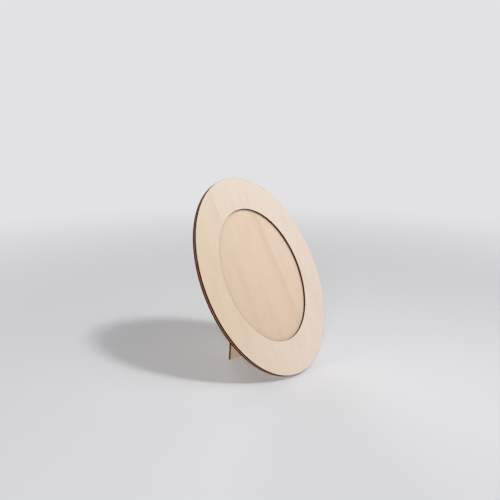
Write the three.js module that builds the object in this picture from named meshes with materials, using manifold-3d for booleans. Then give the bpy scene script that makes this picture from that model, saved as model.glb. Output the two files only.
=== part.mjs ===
// Oval table-top picture frame of laser-cut plywood: a ring with an oval window, an oval back, a photo slot
// between the two, and a folding strut on a small butt hinge that holds the frame up leaning backwards.
// Millimetres, +Z up. The frame stands on the plane z = 0 and faces -Y.
import * as THREE from "three";
import { mergeVertices } from "three/addons/utils/BufferGeometryUtils.js";
import Module from "manifold-3d";

// Sheet stock
const SHEET = 2.2; // plywood of the ring, the back, the hinge block and the strut
const SPACER_SHEET = 0.3; // card that keeps the photo slot open
const GLUE_LINE = 0.05; // film between glued layers, and under the hinge leaves

// Oval ring, back and photo slot
const WINDOW_WIDTH = 100;
const WINDOW_HEIGHT = 134;
const RING_SIDE = 25; // width of the ring beside the window
const RING_END = 33; // width of the ring above and below the window
const SPACER_BAND = 10; // width of the card band along the rim
const SPACER_RISE = 25; // how far the card's two ends reach above the frame's middle

// Stance
const LEAN = THREE.MathUtils.degToRad(28.4); // of the frame, back from upright
const OPENING = THREE.MathUtils.degToRad(29.7); // between the back and the opened strut
const PIN_HEIGHT = 129; // of the hinge pin above the frame's lower end, along the back

// Hinge
const HINGE_WIDTH = 20;
const LEAF_LENGTH = 14; // from the pin to the leaf's free end
const LEAF_SHEET = 0.6;
const LEAF_GAP = 0.4; // between the two leaves when the strut is folded
const LEAF_CORNER = 1; // radius of the leaves' free corners
const PIN_RADIUS = 0.6;
const PIN_PLAY = 0.06; // radial play of the pin in the knuckles
const PIN_PROUD = 0.4; // how far each pin end stands out of the barrel
const PIN_CHAMFER = 0.25;
const END_KNUCKLE = 5.5; // length of each outer knuckle, on the fixed leaf
const KNUCKLE_PLAY = 0.2; // gap between neighbouring knuckles
const ROLL_SEAM = 0.15; // slit where a knuckle's rolled end comes back to its plate
const BARREL_CLEARANCE = 0.4; // air between the barrel and the plates, the block and the strut

// Screws and rivets of the leaves
const FIXING_INSET = 4; // from the leaf's free end and sides to each fixing
const SHANK_RADIUS = 0.7;
const SINK_RADIUS = 1.3; // of a countersunk head
const SINK_DEPTH = 0.5;
const SCREW_SHORT = 0.4; // how far the screw's tip stays off the back
const SCREW_POINT = 0.6; // length of the screw's tapered tip
const DRIVE_WIDTH = 0.4; // of the straight slot in the screw's head
const DRIVE_DEPTH = 0.25;
const DRIVE_TURN = THREE.MathUtils.degToRad(25); // of the slot, as the screw was left when tight
const RIVET_HEAD_RADIUS = 1.6;
const RIVET_HEAD_HEIGHT = 0.8;
const FIXING_PLAY = 0.05; // air round each fixing

// Hinge block and strut
const BLOCK_MARGIN = 3; // of the block round the fixed leaf
const BLOCK_CORNER = 2;
const STRUT_CHEEK = 5.5; // wood beside the barrel's slot in the strut
const STRUT_FOOT_WIDTH = 46;
const STRUT_HEAD_CORNER = 3;
const STOP_GAP = 0.2; // between the strut's heel and the back when the strut is fully open
const FOOT_WASTE = 1; // trimmed off the strut to stand flat

// Facets
const OVAL_STEPS = 128;
const ROUND_STEPS = 24;
const CORNER_STEPS = 4;
const DOME_STEPS = 4;
const WELD = 1e-4; // distance under which vertices of one surface count as one

// Layers, from the ring's front face backwards
const OUTER_WIDTH = WINDOW_WIDTH + 2 * RING_SIDE;
const OUTER_HEIGHT = WINDOW_HEIGHT + 2 * RING_END;
const SPACER_Y = SHEET + GLUE_LINE;
const BACK_Y = SPACER_Y + SPACER_SHEET + GLUE_LINE;
const FRAME_DEPTH = BACK_Y + SHEET;
const BLOCK_Y = FRAME_DEPTH + GLUE_LINE;

// Hinge, measured from the pin's axis
const LEAF_OFFSET = LEAF_GAP / 2; // to the inner face of each leaf
const BOARD_OFFSET = LEAF_OFFSET + LEAF_SHEET + GLUE_LINE; // to the block and to the strut
const PIN_Y = BLOCK_Y + SHEET + BOARD_OFFSET;
const PIN_Z = PIN_HEIGHT - OUTER_HEIGHT / 2;
const BORE_RADIUS = PIN_RADIUS + PIN_PLAY;
const KNUCKLE_RADIUS = BORE_RADIUS + LEAF_SHEET;
const BARREL_ROOM = KNUCKLE_RADIUS + BARREL_CLEARANCE;
const MIDDLE_KNUCKLE = HINGE_WIDTH - 2 * (END_KNUCKLE + KNUCKLE_PLAY);
const FIXING_X = HINGE_WIDTH / 2 - FIXING_INSET;
const FIXING_Z = FIXING_INSET - LEAF_LENGTH;
const BOARD_BOTTOM = LEAF_SHEET + GLUE_LINE + SHEET; // from a leaf's inner face to its board's far face

// Stance: the oval's facets lie evenly about its lowest point, so the frame stands on a short flat
const HALF_FACET = Math.PI / OVAL_STEPS;
const REST_RADIUS = (OUTER_HEIGHT / 2) * Math.cos(HALF_FACET);
const FRAME_RISE = REST_RADIUS * Math.cos(LEAN) + FRAME_DEPTH * Math.sin(LEAN);
const FRAME_SHIFT = (-FRAME_DEPTH * Math.cos(LEAN)) / 2;
const PIN_RISE = FRAME_RISE + PIN_Z * Math.cos(LEAN) - PIN_Y * Math.sin(LEAN);

// Strut: it stands STRUT_TILT off upright, and its heel above the pin meets the back when it is open
const STRUT_TILT = OPENING - LEAN;
const HEEL_SWING = PIN_Y - FRAME_DEPTH + BOARD_OFFSET * Math.cos(OPENING) - STOP_GAP;
const STRUT_HEEL = HEEL_SWING / Math.sin(OPENING);
const STRUT_LENGTH = PIN_RISE / Math.cos(STRUT_TILT);
const STRUT_OUTER = BOARD_OFFSET + SHEET;
const STRUT_BLANK = STRUT_LENGTH + STRUT_OUTER * Math.abs(Math.tan(STRUT_TILT)) + FOOT_WASTE;
const SLOT_WIDTH = HINGE_WIDTH + 2 * (PIN_PROUD + BARREL_CLEARANCE);
const STRUT_HEAD_WIDTH = SLOT_WIDTH + 2 * STRUT_CHEEK;

const wood = (color) => new THREE.MeshStandardMaterial({ color, roughness: 0.75, metalness: 0 });
const ringWood = wood(0xe2d0bb);
const backWood = wood(0xdec7ad);
const strutWood = wood(0xdcc29c);
const card = new THREE.MeshStandardMaterial({ color: 0xcdb795, roughness: 0.9, metalness: 0 });
const brass = new THREE.MeshStandardMaterial({ color: 0xb5934f, roughness: 0.35, metalness: 1 });

const wasm = await Module();
wasm.setup();

// A closed geometry as a solid that can be joined and cut
function toSolid(geometry) {
  const bare = geometry.clone();
  bare.deleteAttribute("normal");
  bare.deleteAttribute("uv");
  const welded = mergeVertices(bare, WELD);
  return new wasm.Manifold(
    new wasm.Mesh({
      numProp: 3,
      vertProperties: welded.getAttribute("position").array,
      triVerts: new Uint32Array(welded.index.array),
    }),
  );
}

// A solid back as a geometry with flat facets
function toGeometry(solid) {
  const { vertProperties, numProp, triVerts } = solid.getMesh();
  const indexed = new THREE.BufferGeometry();
  indexed.setAttribute("position", new THREE.BufferAttribute(vertProperties, numProp));
  indexed.setIndex(new THREE.BufferAttribute(triVerts, 1));
  const geometry = indexed.toNonIndexed();
  geometry.computeVertexNormals();
  return geometry;
}

const join = (...pieces) => pieces.map(toSolid).reduce((whole, piece) => whole.add(piece));
const cut = (solid, ...tools) => tools.map(toSolid).reduce((rest, tool) => rest.subtract(tool), solid);

// An outline in the x-z plane cut from a sheet, with its front face at y = 0
function sheetFrom(outline, thickness, curveSegments) {
  const options = { depth: thickness, bevelEnabled: false, curveSegments };
  return new THREE.ExtrudeGeometry(outline, options).rotateX(Math.PI / 2).translate(0, thickness, 0);
}

// A profile in the y-z plane drawn out along x, about the given middle
function drawnAlongX(profile, length, middle) {
  const options = { depth: length, bevelEnabled: false, curveSegments: ROUND_STEPS / 2 };
  const toX = new THREE.Matrix4().makeBasis(
    new THREE.Vector3(0, 1, 0),
    new THREE.Vector3(0, 0, 1),
    new THREE.Vector3(1, 0, 0),
  );
  return new THREE.ExtrudeGeometry(profile, options).applyMatrix4(toX).translate(middle - length / 2, 0, 0);
}

// A profile of [radius, y] points turned about the y axis
function turned(profile) {
  const points = profile.map(([radius, y]) => new THREE.Vector2(radius, y));
  return new THREE.LatheGeometry(points, ROUND_STEPS);
}

function oval(path, width, height) {
  const start = HALF_FACET - Math.PI / 2;
  return path.absellipse(0, 0, width / 2, height / 2, start, start + 2 * Math.PI, false, 0);
}

const round = (path, x, y, radius) => path.absarc(x, y, radius, 0, 2 * Math.PI, false);

function part(name, geometry, material) {
  const mesh = new THREE.Mesh(geometry, material);
  mesh.name = name;
  return mesh;
}

function frontRing() {
  const outline = oval(new THREE.Shape(), OUTER_WIDTH, OUTER_HEIGHT);
  outline.holes.push(oval(new THREE.Path(), WINDOW_WIDTH, WINDOW_HEIGHT));
  return part("front_ring", sheetFrom(outline, SHEET, OVAL_STEPS / 2), ringWood);
}

// A U of card along the rim: the photo slides in from above, between its two ends
function photoSpacer() {
  const halfWidth = OUTER_WIDTH / 2;
  const halfHeight = OUTER_HEIGHT / 2;
  const end = Math.asin(SPACER_RISE / halfHeight);
  const pocketWidth = halfWidth - SPACER_BAND;
  const pocketHeight = halfHeight - SPACER_BAND;
  const outline = new THREE.Shape();
  outline.absellipse(0, 0, halfWidth, halfHeight, Math.PI - end, 2 * Math.PI + end, false, 0);
  outline.lineTo(pocketWidth, SPACER_RISE);
  outline.absellipse(0, 0, pocketWidth, pocketHeight, 2 * Math.PI, Math.PI, true, 0);
  outline.lineTo(-pocketWidth, SPACER_RISE);
  outline.closePath();
  const spacer = part("photo_spacer", sheetFrom(outline, SPACER_SHEET, OVAL_STEPS / 4), card);
  spacer.position.y = SPACER_Y;
  return spacer;
}

function backPanel() {
  const outline = oval(new THREE.Shape(), OUTER_WIDTH, OUTER_HEIGHT);
  const panel = part("back_panel", sheetFrom(outline, SHEET, OVAL_STEPS / 2), backWood);
  panel.position.y = BACK_Y;
  return panel;
}

// Each leaf has two fixings side by side
const FIXINGS = [
  { side: "left", x: -FIXING_X },
  { side: "right", x: FIXING_X },
];

// The hole for a fixing through a board
const fixingHole = ({ x }) => round(new THREE.Path(), x, FIXING_Z, SHANK_RADIUS + FIXING_PLAY);

// A plate that hangs below the barrel, with its two free corners rounded
function hangingPlate(width, length, corner) {
  const side = width / 2;
  const low = corner - length;
  const outline = new THREE.Shape();
  outline.absarc(corner - side, low, corner, Math.PI, 1.5 * Math.PI, false);
  outline.absarc(side - corner, low, corner, 1.5 * Math.PI, 2 * Math.PI, false);
  outline.lineTo(side, -BARREL_ROOM);
  outline.lineTo(-side, -BARREL_ROOM);
  outline.closePath();
  return outline;
}

// Glued on the back below the barrel, with a pilot hole for each screw
function hingeBlock() {
  const outline = hangingPlate(HINGE_WIDTH + 2 * BLOCK_MARGIN, LEAF_LENGTH + BLOCK_MARGIN, BLOCK_CORNER);
  outline.holes.push(...FIXINGS.map(fixingHole));
  const block = part("hinge_block", sheetFrom(outline, SHEET, ROUND_STEPS / 2), backWood);
  block.position.set(0, BLOCK_Y, PIN_Z);
  return block;
}

// The flat of a leaf lies a little to one side of the pin's axis
function leafPlate() {
  const outline = hangingPlate(HINGE_WIDTH, LEAF_LENGTH, LEAF_CORNER);
  return sheetFrom(outline, LEAF_SHEET, CORNER_STEPS).translate(0, LEAF_OFFSET, 0);
}

// A rolled knuckle, and the tab that leads into it from the plate
function knuckle({ length, middle }) {
  const roll = round(new THREE.Shape(), 0, 0, KNUCKLE_RADIUS);
  roll.holes.push(round(new THREE.Path(), 0, 0, BORE_RADIUS));
  const tabTop = -(BORE_RADIUS + KNUCKLE_RADIUS) / 2;
  const tabBottom = -BARREL_ROOM - LEAF_SHEET;
  const tab = new THREE.BoxGeometry(length, LEAF_SHEET, tabTop - tabBottom);
  tab.translate(middle, LEAF_OFFSET + LEAF_SHEET / 2, (tabTop + tabBottom) / 2);
  return [drawnAlongX(roll, length, middle), tab];
}

// The cutter for a knuckle's seam, along the plate's inner face
function seam({ length, middle }) {
  const slit = new THREE.BoxGeometry(length + ROLL_SEAM, ROLL_SEAM, KNUCKLE_RADIUS);
  return slit.translate(middle, LEAF_OFFSET - ROLL_SEAM / 2, -KNUCKLE_RADIUS / 2);
}

// The hole for a fixing through a leaf, countersunk on the leaf's inner face
function sink({ x }) {
  const rim = SINK_RADIUS + FIXING_PLAY;
  const bore = SHANK_RADIUS + FIXING_PLAY;
  const profile = [
    [0, -FIXING_PLAY],
    [rim, -FIXING_PLAY],
    [rim, 0],
    [bore, SINK_DEPTH],
    [bore, LEAF_SHEET + FIXING_PLAY],
    [0, LEAF_SHEET + FIXING_PLAY],
  ];
  return turned(profile).translate(x, LEAF_OFFSET, FIXING_Z);
}

function leaf(name, knuckles) {
  const rolled = join(leafPlate(), ...knuckles.flatMap(knuckle));
  const cutters = [...FIXINGS.map(sink), ...knuckles.map(seam)];
  return part(name, toGeometry(cut(rolled, ...cutters)), brass);
}

function fixedLeaf() {
  const middle = (HINGE_WIDTH - END_KNUCKLE) / 2;
  const length = END_KNUCKLE;
  return leaf("fixed_leaf", [
    { length, middle: -middle },
    { length, middle },
  ]);
}

const strutLeaf = () => leaf("strut_leaf", [{ length: MIDDLE_KNUCKLE, middle: 0 }]);

function hingePin() {
  const half = HINGE_WIDTH / 2 + PIN_PROUD;
  const tip = PIN_RADIUS - PIN_CHAMFER;
  const profile = [
    [0, -half],
    [tip, -half],
    [PIN_RADIUS, PIN_CHAMFER - half],
    [PIN_RADIUS, half - PIN_CHAMFER],
    [tip, half],
    [0, half],
  ];
  return part("hinge_pin", turned(profile).rotateZ(Math.PI / 2), brass);
}

// A countersunk screw with a straight slot, its head flush with the leaf and its tip short of the back
function blockScrew({ side, x }) {
  const length = BOARD_BOTTOM - SCREW_SHORT;
  const profile = [
    [0, 0],
    [SINK_RADIUS, 0],
    [SHANK_RADIUS, SINK_DEPTH],
    [SHANK_RADIUS, length - SCREW_POINT],
    [0, length],
  ];
  const slot = new THREE.BoxGeometry(3 * SINK_RADIUS, 2 * DRIVE_DEPTH, DRIVE_WIDTH);
  const slotted = cut(toSolid(turned(profile)), slot.rotateY(Math.sign(x) * DRIVE_TURN));
  const screw = part(`block_screw_${side}`, toGeometry(slotted), brass);
  screw.position.set(-x, LEAF_OFFSET, FIXING_Z);
  return screw;
}

// A rivet: a domed head on the strut, and a tail spread into the leaf's countersink
function strutRivet({ side, x }) {
  const under = BOARD_BOTTOM + FIXING_PLAY;
  const dome = Array.from({ length: DOME_STEPS + 1 }, (_, step) => {
    const angle = (step / DOME_STEPS) * (Math.PI / 2);
    return [RIVET_HEAD_RADIUS * Math.cos(angle), under + RIVET_HEAD_HEIGHT * Math.sin(angle)];
  });
  const profile = [[0, 0], [SINK_RADIUS, 0], [SHANK_RADIUS, SINK_DEPTH], [SHANK_RADIUS, under], ...dome];
  const rivet = part(`strut_rivet_${side}`, turned(profile), brass);
  rivet.position.set(x, LEAF_OFFSET, FIXING_Z);
  return rivet;
}

// The table's top, as a cutter that trims the strut's foot flat
function tableTop() {
  const slab = new THREE.BoxGeometry(2 * STRUT_FOOT_WIDTH, 4 * STRUT_OUTER, STRUT_OUTER);
  return slab
    .translate(0, 0, -STRUT_OUTER / 2)
    .rotateX(-STRUT_TILT)
    .translate(0, 0, -STRUT_LENGTH);
}

// A leg that widens to its foot, with a slot for the barrel and a heel above it
function strut() {
  const head = STRUT_HEAD_WIDTH / 2;
  const foot = STRUT_FOOT_WIDTH / 2;
  const corner = STRUT_HEEL - STRUT_HEAD_CORNER;
  const outline = new THREE.Shape();
  outline.moveTo(-foot, -STRUT_BLANK);
  outline.lineTo(foot, -STRUT_BLANK);
  outline.absarc(head - STRUT_HEAD_CORNER, corner, STRUT_HEAD_CORNER, 0, Math.PI / 2, false);
  outline.absarc(STRUT_HEAD_CORNER - head, corner, STRUT_HEAD_CORNER, Math.PI / 2, Math.PI, false);
  outline.closePath();
  const slot = new THREE.Path();
  slot.moveTo(-SLOT_WIDTH / 2, -BARREL_ROOM);
  slot.lineTo(-SLOT_WIDTH / 2, BARREL_ROOM);
  slot.lineTo(SLOT_WIDTH / 2, BARREL_ROOM);
  slot.lineTo(SLOT_WIDTH / 2, -BARREL_ROOM);
  slot.closePath();
  outline.holes.push(slot, ...FIXINGS.map(fixingHole));
  const blank = sheetFrom(outline, SHEET, ROUND_STEPS / 2).translate(0, BOARD_OFFSET, 0);
  return part("strut", toGeometry(cut(toSolid(blank), tableTop())), strutWood);
}

// The fixed half of the hinge faces the strut's half, so it is turned about the upright axis
function fixedHalf() {
  const half = new THREE.Group();
  half.add(fixedLeaf(), ...FIXINGS.map(blockScrew));
  half.rotation.z = Math.PI;
  return half;
}

function foldingStrut() {
  const half = new THREE.Group();
  half.add(strut(), strutLeaf(), ...FIXINGS.map(strutRivet));
  half.rotation.x = OPENING;
  return half;
}

function hinge() {
  const group = new THREE.Group();
  group.add(fixedHalf(), hingePin(), foldingStrut());
  group.position.set(0, PIN_Y, PIN_Z);
  return group;
}

const leaning = new THREE.Group();
leaning.add(frontRing(), photoSpacer(), backPanel(), hingeBlock(), hinge());
leaning.rotation.x = -LEAN;
leaning.position.set(0, FRAME_SHIFT, FRAME_RISE);

const pictureFrame = new THREE.Group();
pictureFrame.add(leaning);

export default pictureFrame;
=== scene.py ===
"""Looks of an oval picture frame of bare plywood: burnt cut edges, a card spacer and a small brass hinge.

Every board's shader works in the board's own axes, in millimetres: x across, y through the sheet from its
front face, and z along the grain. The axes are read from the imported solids, so the grain leans with the
frame.
"""

import math
from collections import namedtuple

import bpy
from mathutils import Color, Matrix, Vector

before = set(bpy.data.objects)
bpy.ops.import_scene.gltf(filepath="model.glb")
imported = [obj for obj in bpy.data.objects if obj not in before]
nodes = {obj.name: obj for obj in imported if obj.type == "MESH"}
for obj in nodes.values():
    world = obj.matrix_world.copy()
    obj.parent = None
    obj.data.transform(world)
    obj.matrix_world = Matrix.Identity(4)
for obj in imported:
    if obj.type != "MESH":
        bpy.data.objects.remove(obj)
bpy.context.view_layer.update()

MM = 0.001
SCREEN_WHITE = 255


def srgb(*levels):
    """A colour picked on a 0 to 255 screen scale, as the shader's linear RGBA."""
    screen = Color([level / SCREEN_WHITE for level in levels])
    return (*screen.from_srgb_to_scene_linear(), 1)


# Camera: the photograph's side, focal length and oval's middle in pixels, and a sensor in millimetres
PICTURE_PX = 500
FOCAL_PX = 640
OVAL_MIDDLE_PX = (264.06, 273.68)
CAMERA_DEPTH = 0.6175
CAMERA_YAW = math.radians(45.22)
CAMERA_PITCH = math.radians(14.5)
SENSOR_WIDTH = 36
NEAREST_SEEN = 0.01

# Light, with places in metres from the oval's middle, as the camera sees it
SKY_STRENGTH = 0.18
SKY_COLOUR = srgb(250, 250, 255)
DistantLamp = namedtuple("DistantLamp", "name right toward up spread strength")
DISTANT_LAMPS = [
    DistantLamp("key", right=0.62, toward=0.3, up=0.72, spread=math.radians(8), strength=1.1),
    DistantLamp("behind", right=-0.3, toward=-1, up=0.42, spread=math.radians(40), strength=1.5),
]
Softbox = namedtuple("Softbox", "name right toward up side power")
SOFTBOXES = [
    Softbox("upper_right", right=0.2, toward=0.1, up=0.3, side=0.22, power=0.41),
    Softbox("front", right=-0.16, toward=1.8, up=0.2, side=0.6, power=11),
]

# Floor and backdrop: the floor's own tone fades into the backdrop's from the near to the far distance
FLOOR_SIDE = 60
FLOOR_BELOW = 0.05 * MM
FLOOR_SEEN = srgb(228, 228, 230)
FLOOR_BOUNCE = srgb(240, 240, 242)
FLOOR_ROUGHNESS = 0.8
FLOOR_LIFT = 0.12
FLOOR_NEAR = 0.25
FLOOR_FAR = 0.9
BACKDROP = srgb(226, 226, 228)

# Softened corners of the solids
WELD = 0.001 * MM
OVAL_BEVEL = 0.2 * MM
PLATE_BEVEL = 0.05 * MM
CARD_BEVEL = 0.05 * MM
BRASS_BEVEL = 0.02 * MM
SCREW_BEVEL = 0.005 * MM
BEVEL_STEPS = 2
SHARP_ANGLE = math.radians(35)

# Facets belong to one flat face where their directions agree to this many digits
NORMAL_DIGITS = 3

# How squarely a surface must look along the sheet's axis to count as its edge and as its face
EDGE_FACING = 0.8
SHEET_FACING = 0.95

# Sockets of a mix node that belong to its colours
MIX_SHARE = 0
MIX_FIRST = 6
MIX_SECOND = 7
MIX_RESULT = 2

# Cloudy figures: blob size in millimetres, noise detail, the noise where one starts and is full, and strength
Figure = namedtuple("Figure", "size detail start full strength", defaults=[1])

# Bare veneer, with sizes across the grain, through the sheet and along the grain
HUE = Figure(size=(13, 2, 24), detail=2, start=0.3, full=0.7, strength=0.22)
CLOUD = Figure(size=(10, 2, 26), detail=2, start=0.3, full=0.8, strength=0.12)
STREAK = Figure(size=(3, 2, 90), detail=3, start=0.35, full=0.75, strength=0.08)
FIBRE = Figure(size=(0.5, 0.5, 20), detail=3, start=0.4, full=0.75, strength=0.22)
PORE = Figure(size=(0.42, 0.42, 3.4), detail=1, start=0.66, full=0.78, strength=0.22)
ASH = srgb(216, 206, 190)
BLUSH = srgb(230, 200, 174)

# Slow sway of the figure, its shift across for each millimetre of depth, and the drift of tone over a board,
# which is partly painted light
SWAY_SIZE = (34, 1, 80)
SWAY_DETAIL = 2
REAR_SHIFT = 8
DRIFT_SWAY = 15
DRIFT_REACH = 60

# Bare wood's finish and relief
WOOD_GLOSS = 0
WOOD_ROUGHNESS = (0.66, 0.82)
WOOD_RELIEF = 0.02 * MM
PORE_DEPTH = 0.6

# Growth lines: where one crosses the board's middle, its slant, its ends and width, and how strongly it shows
GrowthLine = namedtuple("GrowthLine", "x slant low high width strength")
GROWTH_WANDER = 3
GROWTH_FADE = 14
GROWTH_SHARPNESS = 0.35

# Veneers: the drift from warm to pale grows across the board, up it, and towards both its ends; the paler
# right side and top are partly painted light from the key on the upper right
Veneer = namedtuple("Veneer", "pale warm deep line across rise ends growth seed")
RING_VENEER = Veneer(
    pale=srgb(231, 219, 207),
    warm=srgb(221, 201, 176),
    deep=srgb(206, 180, 150),
    line=srgb(210, 180, 148),
    across=0.8,
    rise=0.1,
    ends=0.4,
    growth=[
        GrowthLine(x=-32, slant=0.03, low=48, high=100, width=7, strength=0.16),
        GrowthLine(x=-9, slant=0.02, low=62, high=105, width=5, strength=0.15),
        GrowthLine(x=2, slant=0.03, low=66, high=100, width=4, strength=0.12),
        GrowthLine(x=11, slant=0.02, low=60, high=92, width=6, strength=0.1),
        GrowthLine(x=-62, slant=0.05, low=-60, high=16, width=8, strength=0.16),
        GrowthLine(x=-45, slant=0.02, low=-70, high=-8, width=14, strength=0.16),
        GrowthLine(x=55, slant=-0.04, low=-70, high=20, width=9, strength=0.1),
    ],
    seed=(3, 0, 40),
)
BACK_VENEER = Veneer(
    pale=srgb(230, 210, 189),
    warm=srgb(218, 195, 171),
    deep=srgb(204, 174, 144),
    line=srgb(204, 172, 148),
    across=0.8,
    rise=0.4,
    ends=0,
    growth=[
        GrowthLine(x=23.2, slant=-0.085, low=-75, high=78, width=12, strength=0.28),
        GrowthLine(x=-26, slant=-0.04, low=-72, high=36, width=9, strength=0.17),
        GrowthLine(x=-6, slant=-0.05, low=-75, high=0, width=12, strength=0.1),
        GrowthLine(x=-58, slant=-0.07, low=-90, high=60, width=8, strength=0.3),
        GrowthLine(x=56, slant=-0.05, low=-60, high=90, width=6, strength=0.3),
    ],
    seed=(57, 0, 11),
)
# The strut's veneer is painted paler than its wood: painted light standing in for the fill that the frame's
# shade keeps from it
PAINTED_LIT_STRUT_VENEER = Veneer(
    pale=srgb(244, 225, 195),
    warm=srgb(242, 221, 187),
    deep=srgb(206, 178, 140),
    line=srgb(208, 178, 140),
    across=0.8,
    rise=0,
    ends=0.3,
    growth=[
        GrowthLine(x=4, slant=0.03, low=-70, high=40, width=5, strength=0.4),
        GrowthLine(x=-11, slant=0.02, low=-40, high=70, width=7, strength=0.3),
    ],
    seed=(91, 0, 73),
)

# A laser-burnt cut edge, the scorch on the face beside it, and the sheet's own layers on the edge
Burn = namedtuple("Burn", "char scorch core")
RING_BURN = Burn(char=srgb(53, 15, 4), scorch=srgb(84, 30, 9), core=srgb(74, 24, 6))
BACK_BURN = Burn(char=srgb(50, 17, 5), scorch=srgb(82, 34, 12), core=srgb(72, 28, 8))
BURN_PATCH = Figure(size=(14, 4, 14), detail=1, start=0.3, full=0.7)
BEAM_MARK = Figure(size=(0.35, 7, 0.35), detail=2, start=0.4, full=0.7, strength=0.25)
SCORCH = srgb(150, 84, 40)
SCORCH_PATCH = Figure(size=(30, 10, 30), detail=1, start=0.35, full=0.65, strength=0.2)
SCORCH_WIDTH = 0.5
VENEER_SHEET = 0.6
VENEER_JOINT = 0.08
CORE_STRENGTH = 0.7

# The lighter seam on the rim, which reaches into the ring and the back, but not to the window
SEAM = srgb(178, 110, 76)
RING_SEAM_REACH = 0.25
BACK_SEAM_REACH = 0.9
RIM_MARGIN = 2
WINDOW_REACH = 0.9

# Card: the tones between which its fibres lie, on its face and on its cut edge
CARD_FACE = (srgb(196, 172, 138), srgb(214, 193, 160))
CARD_EDGE = (srgb(168, 118, 86), srgb(196, 148, 114))
CARD_FIBRE = Figure(size=(0.7, 0.4, 0.7), detail=4, start=0.2, full=0.8)
CARD_ROUGHNESS = (0.8, 0.95)
CARD_GLOSS = 0.2
CARD_RELIEF = 0.02 * MM

# Brass, with its drawn lines along the hinge
BRASS_CLEAN = srgb(206, 172, 104)
BRASS_TARNISHED = srgb(176, 140, 78)
BRASS_BRIGHT = srgb(222, 194, 132)
BRASS_DULL = Figure(size=(3.5, 3.5, 3.5), detail=3, start=0.4, full=0.7)
BRASS_DRAWN = Figure(size=(6, 0.12, 0.12), detail=3, start=0.2, full=0.8, strength=0.3)
BRASS_ROUGHNESS = (0.3, 0.46)
BRASS_RELIEF = 0.004 * MM


class Board:
    """Where a flat sheet lies, read from its solid: its axes, and the middle of its front face."""

    def __init__(self, name):
        mesh = nodes[name].data
        sheets = {}
        for face in mesh.polygons:
            if face.normal.y < 0:
                way = tuple(round(part, NORMAL_DIGITS) for part in face.normal)
                sheets[way] = sheets.get(way, Vector()) + face.area * face.normal
        through = -max(sheets.values(), key=lambda sheet: sheet.length).normalized()
        across = Vector((1, 0, 0))
        along = across.cross(through)
        self.turn = Matrix((across, through, along)).transposed()
        turned = [self.turn.inverted() @ vertex.co for vertex in mesh.vertices]
        low, high = self.span(turned)
        middle = Vector(((low.x + high.x) / 2, low.y, (low.z + high.z) / 2))
        self.origin = self.turn @ middle
        self.points = [(point - middle) / MM for point in turned]
        self.low, self.high = self.span(self.points)

    @staticmethod
    def span(points):
        """The lowest and highest of each coordinate."""
        columns = list(zip(*points))
        return Vector(min(c) for c in columns), Vector(max(c) for c in columns)

    def half_width(self, z):
        """How far the board reaches sideways, within a sheet's thickness of the height z."""
        return max(point.x for point in self.points if abs(point.z - z) < self.high.y)


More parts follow.
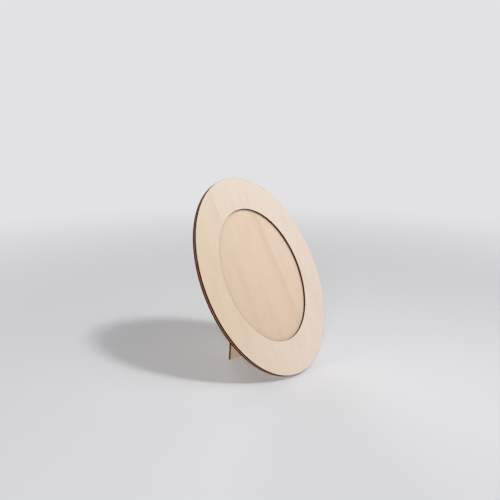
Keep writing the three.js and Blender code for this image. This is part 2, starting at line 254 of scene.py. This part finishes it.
class Graph:
    """A material's nodes, with one short call for each kind that the materials use."""

    def __init__(self, name):
        self.material = bpy.data.materials.new(name)
        self.material.use_nodes = True
        self.tree = self.material.node_tree
        self.shader = next(n for n in self.tree.nodes if n.type == "BSDF_PRINCIPLED")
        self.output = next(n for n in self.tree.nodes if n.type == "OUTPUT_MATERIAL")

    def put(self, socket, value):
        """Links a socket to another one, or gives it a plain value."""
        if isinstance(value, bpy.types.NodeSocket):
            self.tree.links.new(value, socket)
        else:
            socket.default_value = value

    def node(self, kind, inputs, **settings):
        """A new node with its settings and inputs."""
        made = self.tree.nodes.new(kind)
        for key, value in settings.items():
            setattr(made, key, value)
        for socket, value in inputs.items():
            self.put(made.inputs[socket], value)
        return made

    def math(self, operation, *values):
        return self.node("ShaderNodeMath", dict(enumerate(values)), operation=operation).outputs[0]

    def vector(self, operation, *values):
        return self.node("ShaderNodeVectorMath", dict(enumerate(values)), operation=operation).outputs[0]

    def split(self, vector):
        return self.node("ShaderNodeSeparateXYZ", {0: vector}).outputs

    def join(self, x, y, z):
        return self.node("ShaderNodeCombineXYZ", {0: x, 1: y, 2: z}).outputs[0]

    def ramp(self, value, start, end):
        """A smooth step from 0 at start to 1 at end, which may be the lower of the two."""
        inputs = {"Value": value, "From Min": start, "From Max": end}
        return self.node("ShaderNodeMapRange", inputs, interpolation_type="SMOOTHSTEP").outputs[0]

    def between(self, value, low, high):
        """A straight run from low, where value is 0, to high, where it is 1."""
        inputs = {"Value": value, "To Min": low, "To Max": high}
        return self.node("ShaderNodeMapRange", inputs).outputs[0]

    def product(self, first, *others):
        for other in others:
            first = self.math("MULTIPLY", first, other)
        return first

    def blend(self, share, first, second):
        inputs = {MIX_SHARE: share, MIX_FIRST: first, MIX_SECOND: second}
        return self.node("ShaderNodeMix", inputs, data_type="RGBA").outputs[MIX_RESULT]

    def noise(self, point, size, seed, detail):
        """Cloudy noise from 0 to 1, whose blobs are about size across, in millimetres."""
        scaled = self.vector("MULTIPLY", point, tuple(1 / part for part in size))
        moved = self.vector("ADD", scaled, seed)
        return self.node("ShaderNodeTexNoise", {"Vector": moved, "Scale": 1, "Detail": detail}).outputs[0]

    def cover(self, point, figure, seed=(0, 0, 0)):
        """How far a cloudy figure covers the point, from 0 to 1."""
        return self.ramp(self.noise(point, figure.size, seed, figure.detail), figure.start, figure.full)

    def tint(self, colour, cover, figure, second):
        """The colour, taken towards a second one by a figure's cover and strength."""
        return self.blend(self.product(cover, figure.strength), colour, second)

    def length(self, first, second):
        """The longest side of a right-angled triangle with these two sides."""
        squares = [self.math("POWER", side, 2) for side in (first, second)]
        return self.math("SQRT", self.math("ADD", *squares))

    def on_board(self, board):
        """The shaded point in the board's axes, and how far the surface is a face of the sheet."""
        place = self.node("ShaderNodeTexCoord", {})
        turn = {"Rotation": board.turn.to_euler()}
        shift = {"Location": board.origin, "Scale": (MM, MM, MM)}
        inputs = {"Vector": place.outputs["Object"], **turn, **shift}
        point = self.node("ShaderNodeMapping", inputs, vector_type="TEXTURE").outputs[0]
        inputs = {"Vector": place.outputs["Normal"], **turn}
        normal = self.node("ShaderNodeMapping", inputs, vector_type="TEXTURE").outputs[0]
        facing = self.math("ABSOLUTE", self.split(normal)["Y"])
        return point, self.ramp(facing, EDGE_FACING, SHEET_FACING)

    def bump(self, height, depth):
        """Relief of the given depth, in metres."""
        inputs = {"Height": height, "Distance": depth, "Strength": 1}
        self.put(self.shader.inputs["Normal"], self.node("ShaderNodeBump", inputs).outputs[0])


def seen_rays(tree):
    """A socket that is 1 for camera, mirror and see-through rays, and 0 for the light between surfaces."""
    path = tree.nodes.new("ShaderNodeLightPath")
    seen = path.outputs["Is Camera Ray"]
    for ray in ("Is Glossy Ray", "Is Transmission Ray"):
        either = tree.nodes.new("ShaderNodeMath")
        either.operation = "MAXIMUM"
        tree.links.new(seen, either.inputs[0])
        tree.links.new(path.outputs[ray], either.inputs[1])
        seen = either.outputs[0]
    return seen


def oval_gap(graph, x, z, half_width, half_height):
    """How far inside an oval the point is, true near the oval itself."""
    u = graph.math("DIVIDE", x, half_width)
    w = graph.math("DIVIDE", z, half_height)
    reach = graph.length(u, w)
    slope = graph.length(graph.math("DIVIDE", u, half_width), graph.math("DIVIDE", w, half_height))
    return graph.math("DIVIDE", graph.product(graph.math("SUBTRACT", 1, reach), reach), slope)


def plate_gap(board):
    """A function for a point's distance from the sides and ends of a straight or tapered board."""
    ends = board.half_width(board.low.z), board.half_width(board.high.z)

    def gap(graph, x, z):
        height = graph.math("DIVIDE", graph.math("SUBTRACT", z, board.low.z), board.high.z - board.low.z)
        side = graph.math("SUBTRACT", graph.between(height, *ends), graph.math("ABSOLUTE", x))
        end = graph.math("SUBTRACT", board.high.z, graph.math("ABSOLUTE", z))
        return graph.math("MINIMUM", side, end)
    return gap


def growth_mark(graph, x, z, growth):
    """How strongly a growth line marks the point: it ends sharply on its right and fades out on its left."""
    place = graph.math("MULTIPLY_ADD", z, growth.slant, growth.x)
    off = graph.math("SUBTRACT", x, place)
    left = graph.ramp(off, -growth.width, 0)
    right = graph.ramp(off, growth.width * GROWTH_SHARPNESS, 0)
    lower = graph.ramp(z, growth.low, growth.low + GROWTH_FADE)
    upper = graph.ramp(z, growth.high, growth.high - GROWTH_FADE)
    return graph.product(left, right, lower, upper, growth.strength)


def tone_and_painted_light_drift(graph, x, z, sway, veneer):
    """The slow change of tone over a board, from 0 where it is warm to 1 where it is pale. It is partly the
    wood's own tone and partly painted light: paler to the right and up the board, where the key light from
    the upper right falls.
    """
    drift = graph.between(sway, -DRIFT_SWAY, DRIFT_SWAY)
    drift = graph.math("MULTIPLY_ADD", x, veneer.across, drift)
    drift = graph.math("MULTIPLY_ADD", z, veneer.rise, drift)
    drift = graph.math("MULTIPLY_ADD", graph.math("ABSOLUTE", z), veneer.ends, drift)
    return graph.ramp(drift, -DRIFT_REACH, DRIFT_REACH)


def veneer_colour(graph, point, veneer):
    """Bare rotary-cut veneer: slow drift of tone, partly painted light, then clouds, streaks, growth lines,
    fibres and short pores.

    The figure moves across with the depth, so that a sheet's two faces differ. The second result is the
    relief.
    """
    x, y, z = graph.split(point)
    x = graph.math("MULTIPLY_ADD", y, REAR_SHIFT, x)
    point = graph.join(x, y, z)
    sway = graph.noise(point, SWAY_SIZE, veneer.seed, SWAY_DETAIL)
    # The drift from warm to pale is partly painted light, paler to the right and up the board
    colour = graph.blend(tone_and_painted_light_drift(graph, x, z, sway, veneer), veneer.warm, veneer.pale)
    hue = graph.blend(graph.cover(point, HUE, veneer.seed), ASH, BLUSH)
    colour = graph.blend(HUE.strength, colour, hue)
    for figure in (CLOUD, STREAK):
        colour = graph.tint(colour, graph.cover(point, figure, veneer.seed), figure, veneer.deep)
    bent = graph.math("ADD", x, graph.between(sway, -GROWTH_WANDER, GROWTH_WANDER))
    for growth in veneer.growth:
        colour = graph.blend(growth_mark(graph, bent, z, growth), colour, veneer.line)
    fibre = graph.cover(point, FIBRE, veneer.seed)
    pore = graph.cover(point, PORE, veneer.seed)
    colour = graph.tint(colour, fibre, FIBRE, veneer.deep)
    colour = graph.tint(colour, pore, PORE, veneer.deep)
    return colour, graph.math("SUBTRACT", fibre, graph.product(pore, PORE_DEPTH))


def edge_colour(graph, point, burn, sheet, seam):
    """A laser-burnt edge: charred veneers, a paler core and glued side, and the beam's marks through it.

    The second result is how far a beam's mark covers the point.
    """
    x, y, z = graph.split(point)
    colour = graph.blend(graph.cover(point, BURN_PATCH), burn.char, burn.scorch)
    from_middle = graph.math("ABSOLUTE", graph.math("SUBTRACT", y, sheet / 2))
    half_core = sheet / 2 - VENEER_SHEET
    core = graph.ramp(from_middle, half_core + VENEER_JOINT, half_core - VENEER_JOINT)
    colour = graph.blend(graph.product(core, CORE_STRENGTH), colour, burn.core)
    if seam:
        colour = graph.blend(seam(graph, x, y, z), colour, SEAM)
    mark = graph.cover(point, BEAM_MARK)
    return graph.tint(colour, mark, BEAM_MARK, burn.char), mark


def plywood(name, board, veneer, burn, gap_to_cut, seam=None):
    """Plywood with bare faces and burnt edges.

    gap_to_cut gives a face point's distance from the nearest cut, and seam gives the share of the lighter
    seam where the sheet is glued to the next one.
    """
    graph = Graph(name)
    point, face = graph.on_board(board)
    x, _, z = graph.split(point)
    bare, relief = veneer_colour(graph, point, veneer)
    burnt, mark = edge_colour(graph, point, burn, board.high.y, seam)
    beside_cut = graph.ramp(gap_to_cut(graph, x, z), SCORCH_WIDTH, 0)
    scorched = graph.product(beside_cut, graph.cover(point, SCORCH_PATCH, veneer.seed))
    bare = graph.tint(bare, scorched, SCORCH_PATCH, SCORCH)
    graph.put(graph.shader.inputs["Base Color"], graph.blend(face, burnt, bare))
    graph.put(graph.shader.inputs["Roughness"], graph.between(relief, *WOOD_ROUGHNESS))
    graph.shader.inputs["Specular IOR Level"].default_value = WOOD_GLOSS
    graph.bump(graph.blend(face, mark, relief), WOOD_RELIEF)
    return graph.material


def card():
    """Plain tan card with fine fibres, its cut edge scorched a little."""
    graph = Graph("spacer_card")
    point, face = graph.on_board(Board("photo_spacer"))
    fibre = graph.cover(point, CARD_FIBRE)
    plain = graph.blend(fibre, *CARD_FACE)
    scorched = graph.blend(fibre, *CARD_EDGE)
    graph.put(graph.shader.inputs["Base Color"], graph.blend(face, scorched, plain))
    graph.put(graph.shader.inputs["Roughness"], graph.between(fibre, *CARD_ROUGHNESS))
    graph.shader.inputs["Specular IOR Level"].default_value = CARD_GLOSS
    graph.bump(fibre, CARD_RELIEF)
    return graph.material


def brass():
    """Satin brass plate with fine drawn lines and a little dullness in patches."""
    graph = Graph("hinge_brass")
    point, _ = graph.on_board(Board("hinge_block"))
    dull = graph.cover(point, BRASS_DULL)
    drawn = graph.cover(point, BRASS_DRAWN)
    colour = graph.tint(BRASS_CLEAN, dull, BRASS_DULL, BRASS_TARNISHED)
    graph.put(graph.shader.inputs["Base Color"], graph.tint(colour, drawn, BRASS_DRAWN, BRASS_BRIGHT))
    graph.put(graph.shader.inputs["Roughness"], graph.between(dull, *BRASS_ROUGHNESS))
    graph.shader.inputs["Metallic"].default_value = 1
    graph.bump(drawn, BRASS_RELIEF)
    return graph.material


def facet_nodes():
    """Geometry nodes that weld a solid's facets together and shade them smooth."""
    tree = bpy.data.node_groups.new("welded_facets", "GeometryNodeTree")
    tree.interface.new_socket("Geometry", in_out="INPUT", socket_type="NodeSocketGeometry")
    tree.interface.new_socket("Geometry", in_out="OUTPUT", socket_type="NodeSocketGeometry")
    start = tree.nodes.new("NodeGroupInput")
    weld = tree.nodes.new("GeometryNodeMergeByDistance")
    weld.inputs["Distance"].default_value = WELD
    bare = tree.nodes.new("GeometryNodeRemoveAttribute")
    bare.inputs["Name"].default_value = "custom_normal"
    smooth = tree.nodes.new("GeometryNodeSetShadeSmooth")
    end = tree.nodes.new("NodeGroupOutput")
    steps = [start, weld, bare, smooth, end]
    for before, after in zip(steps, steps[1:]):
        tree.links.new(before.outputs[0], after.inputs[0])
    return tree


FACETS = facet_nodes()


def paint(names, material):
    """Gives the solids their material."""
    for name in names:
        slots = nodes[name].data.materials
        slots.clear()
        slots.append(material)


def soften(names, bevel):
    """Softens the solids' corners by a small bevel, and shades their facets smooth."""
    for name in names:
        modifiers = nodes[name].modifiers
        modifiers.new("facets", "NODES").node_group = FACETS
        edge = modifiers.new("soft_corners", "BEVEL")
        edge.width = bevel
        edge.segments = BEVEL_STEPS
        edge.limit_method = "ANGLE"
        edge.angle_limit = SHARP_ANGLE
        edge.use_clamp_overlap = False
        modifiers.new("face_shading", "WEIGHTED_NORMAL")


def dress_boards():
    """Plywood for the ring, the back, the hinge block and the strut, each burnt along its own cuts."""
    ring = Board("front_ring")
    back = Board("back_panel")
    block = Board("hinge_block")
    strut = Board("strut")
    rim = ring.high.x, ring.high.z
    inner = [p for p in ring.points if math.hypot(p.x / rim[0], p.z / rim[1]) < WINDOW_REACH]
    window = max(p.x for p in inner), max(p.z for p in inner)

    def rim_gap(graph, x, z):
        return oval_gap(graph, x, z, *rim)

    def ring_gap(graph, x, z):
        outside_window = graph.product(oval_gap(graph, x, z, *window), -1)
        return graph.math("MINIMUM", rim_gap(graph, x, z), outside_window)

    def ring_seam(graph, x, y, z):
        deep = graph.ramp(y, ring.high.y - RING_SEAM_REACH, ring.high.y)
        return graph.product(deep, graph.ramp(rim_gap(graph, x, z), RIM_MARGIN, 0))

    def back_seam(graph, _x, y, _z):
        return graph.ramp(y, BACK_SEAM_REACH, 0)

    woods = {
        "front_ring": plywood("ring_wood", ring, RING_VENEER, RING_BURN, ring_gap, ring_seam),
        "back_panel": plywood("back_wood", back, BACK_VENEER, BACK_BURN, rim_gap, back_seam),
        "hinge_block": plywood("block_wood", block, BACK_VENEER, BACK_BURN, plate_gap(block)),
        "strut": plywood("strut_wood", strut, PAINTED_LIT_STRUT_VENEER, RING_BURN, plate_gap(strut)),
    }
    for name, wood in woods.items():
        paint([name], wood)
    soften(["front_ring", "back_panel"], OVAL_BEVEL)
    soften(["hinge_block", "strut"], PLATE_BEVEL)


def dress_hinge():
    """Brass for the hinge and its fixings. The screws' small slots leave room for less of a bevel."""
    screws = ["block_screw_left", "block_screw_right"]
    others = ["fixed_leaf", "strut_leaf", "hinge_pin", "strut_rivet_left", "strut_rivet_right"]
    paint(others + screws, brass())
    soften(others, BRASS_BEVEL)
    soften(screws, SCREW_BEVEL)


def dress_spacer():
    """Card for the spacer between the ring and the back."""
    paint(["photo_spacer"], card())
    soften(["photo_spacer"], CARD_BEVEL)


def pale_floor():
    """A wide plain floor that keeps the frame's shadow, and turns into the backdrop's tone further out."""
    mesh = bpy.data.meshes.new("floor")
    half = FLOOR_SIDE / 2
    corners = [(x * half, y * half, -FLOOR_BELOW) for x, y in ((-1, -1), (1, -1), (1, 1), (-1, 1))]
    mesh.from_pydata(corners, [], [range(len(corners))])
    floor = bpy.data.objects.new("floor", mesh)
    bpy.context.scene.collection.objects.link(floor)
    graph = Graph("floor_paint")
    seen = seen_rays(graph.tree)
    sockets = graph.shader.inputs
    graph.put(sockets["Base Color"], graph.blend(seen, FLOOR_BOUNCE, FLOOR_SEEN))
    sockets["Roughness"].default_value = FLOOR_ROUGHNESS
    sockets["Specular IOR Level"].default_value = 0
    sockets["Emission Color"].default_value = BACKDROP
    graph.put(sockets["Emission Strength"], graph.product(seen, FLOOR_LIFT))
    x, y, _ = graph.split(graph.node("ShaderNodeTexCoord", {}).outputs["Object"])
    far = graph.product(seen, graph.ramp(graph.length(x, y), FLOOR_NEAR, FLOOR_FAR))
    backdrop = graph.node("ShaderNodeEmission", {"Color": BACKDROP}).outputs[0]
    mix = graph.node("ShaderNodeMixShader", {0: far, 1: graph.shader.outputs[0], 2: backdrop})
    graph.put(graph.output.inputs["Surface"], mix.outputs[0])
    mesh.materials.append(graph.material)


def pale_world():
    """Soft even light from all round, and a pale backdrop for what looks past the floor."""
    world = bpy.data.worlds.new("studio")
    bpy.context.scene.world = world
    world.use_nodes = True
    tree = world.node_tree
    tree.nodes.clear()
    light = tree.nodes.new("ShaderNodeBackground")
    light.inputs["Color"].default_value = SKY_COLOUR
    light.inputs["Strength"].default_value = SKY_STRENGTH
    backdrop = tree.nodes.new("ShaderNodeBackground")
    backdrop.inputs["Color"].default_value = BACKDROP
    mix = tree.nodes.new("ShaderNodeMixShader")
    tree.links.new(seen_rays(tree), mix.inputs[0])
    tree.links.new(light.outputs[0], mix.inputs[1])
    tree.links.new(backdrop.outputs[0], mix.inputs[2])
    out = tree.nodes.new("ShaderNodeOutputWorld")
    tree.links.new(mix.outputs[0], out.inputs["Surface"])


def lamp(data, place, aim):
    """Puts a lamp at its place, shining at the aim."""
    obj = bpy.data.objects.new(data.name, data)
    obj.location = place
    obj.rotation_euler = (aim - place).to_track_quat("-Z", "Y").to_euler()
    obj.visible_camera = False
    bpy.context.scene.collection.objects.link(obj)


def studio_lamps(target, right, toward):
    """A distant key from the upper right, two softboxes in front, and a soft distant lamp behind."""
    def place(spot):
        return target + spot.right * right + spot.toward * toward + Vector((0, 0, spot.up))

    for sun in DISTANT_LAMPS:
        data = bpy.data.lights.new(sun.name, "SUN")
        data.angle = sun.spread
        data.energy = sun.strength
        lamp(data, place(sun), target)
    for box in SOFTBOXES:
        data = bpy.data.lights.new(box.name, "AREA")
        data.size = box.side
        data.energy = box.power
        lamp(data, place(box), target)


def photo_camera(target):
    """The photograph's camera: the target lies at its pixel and depth.

    Returns the ways to the right and towards the viewer.
    """
    right = Vector((math.cos(CAMERA_YAW), -math.sin(CAMERA_YAW), 0))
    level = Vector((math.sin(CAMERA_YAW), math.cos(CAMERA_YAW), 0))
    forward = math.cos(CAMERA_PITCH) * level - Vector((0, 0, math.sin(CAMERA_PITCH)))
    up = right.cross(forward)
    aside, below = ((pixel - PICTURE_PX / 2) / FOCAL_PX for pixel in OVAL_MIDDLE_PX)
    data = bpy.data.cameras.new("photo_camera")
    data.sensor_width = SENSOR_WIDTH
    data.lens = SENSOR_WIDTH * FOCAL_PX / PICTURE_PX
    data.clip_start = NEAREST_SEEN
    camera = bpy.data.objects.new("photo_camera", data)
    camera.location = target - CAMERA_DEPTH * (forward + aside * right - below * up)
    camera.rotation_euler = Matrix((right, up, -forward)).transposed().to_euler()
    bpy.context.scene.collection.objects.link(camera)
    bpy.context.scene.camera = camera
    return right, -forward


dress_boards()
dress_spacer()
dress_hinge()
pale_floor()
pale_world()

oval_middle = Board("front_ring").origin
studio_lamps(oval_middle, *photo_camera(oval_middle))
bpy.context.scene.view_settings.view_transform = "Standard"
